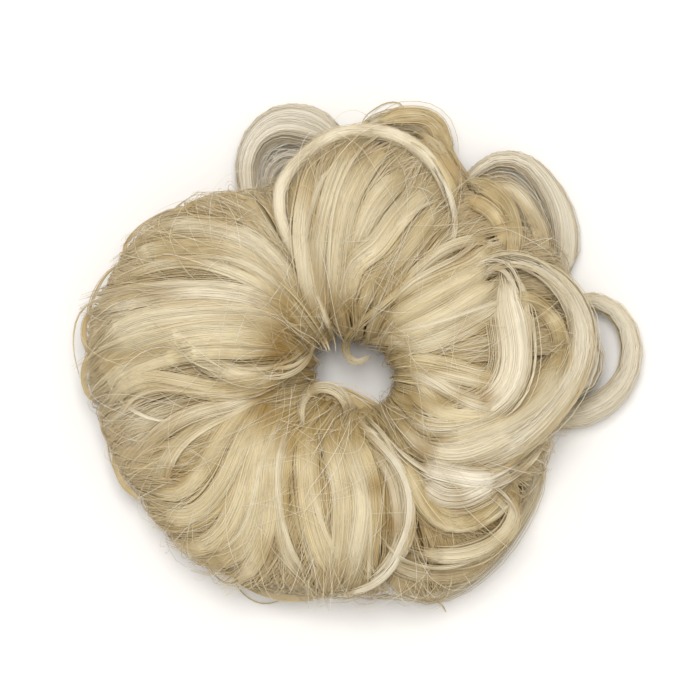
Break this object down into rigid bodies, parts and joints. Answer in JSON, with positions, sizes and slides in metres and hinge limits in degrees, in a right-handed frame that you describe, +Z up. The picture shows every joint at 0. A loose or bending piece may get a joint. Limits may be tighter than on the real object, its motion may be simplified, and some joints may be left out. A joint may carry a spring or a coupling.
{
  "type": "hair bun scrunchie (top knot hairpiece)",
  "caption": "Messy-bun hairpiece: curled blonde synthetic locks sewn round a hidden elastic ring, open in the middle for the wearer's own bun.",
  "frame": {"origin": "on the table, under the middle of the outline as seen from above", "axes": "+Z up from the table, +X to the right and +Y to the top of the picture, which looks straight down"},
  "size_m": [0.1382, 0.1244, 0.0375],
  "materials": {
    "hair": "satin synthetic hair, pale blonde",
    "ash_hair": "satin synthetic hair, paler and cooler blonde",
    "root_hair": "dense sewn hair, darker at the roots",
    "elastic": "matte woven elastic"
  },
  "bodies": {
    "root": {"curl_bottom": "hair", "curl_crown_arch": "hair", "curl_left": "hair", "curl_low_right": "hair", "curl_low_right_pale": "ash_hair", "curl_right_drop": "ash_hair", "curl_right_sweep": "ash_hair", "elastic_band": "elastic", "lock_bottom_1": "hair", "lock_bottom_2": "hair", "lock_bottom_3": "hair", "lock_bottom_4": "hair", "lock_bottom_5": "hair", "lock_crown_1": "hair", "lock_crown_2": "hair", "lock_crown_3": "hair", "lock_crown_4": "hair", "lock_left_1": "hair", "lock_left_2": "hair", "lock_left_3": "hair", "lock_left_4": "hair", "lock_left_5": "hair", "lock_left_6": "hair", "lock_left_7": "hair", "lock_low_left_1": "hair", "lock_low_left_2": "hair", "lock_low_left_3": "hair", "lock_low_right_1": "hair", "lock_low_right_2": "hair", "lock_low_right_3": "hair", "lock_right_1": "hair", "lock_right_2": "hair", "lock_right_3": "hair", "lock_right_4": "hair", "lock_right_5": "hair", "loop_bottom": "hair", "loop_low_right": "hair", "loop_right": "hair", "loop_right_inner": "hair", "loop_top_back": "hair", "loop_top_left": "ash_hair", "loop_top_right_inner": "hair", "loop_top_right_outer": "hair", "sewn_base": "root_hair"}
  },
  "joints": []
}
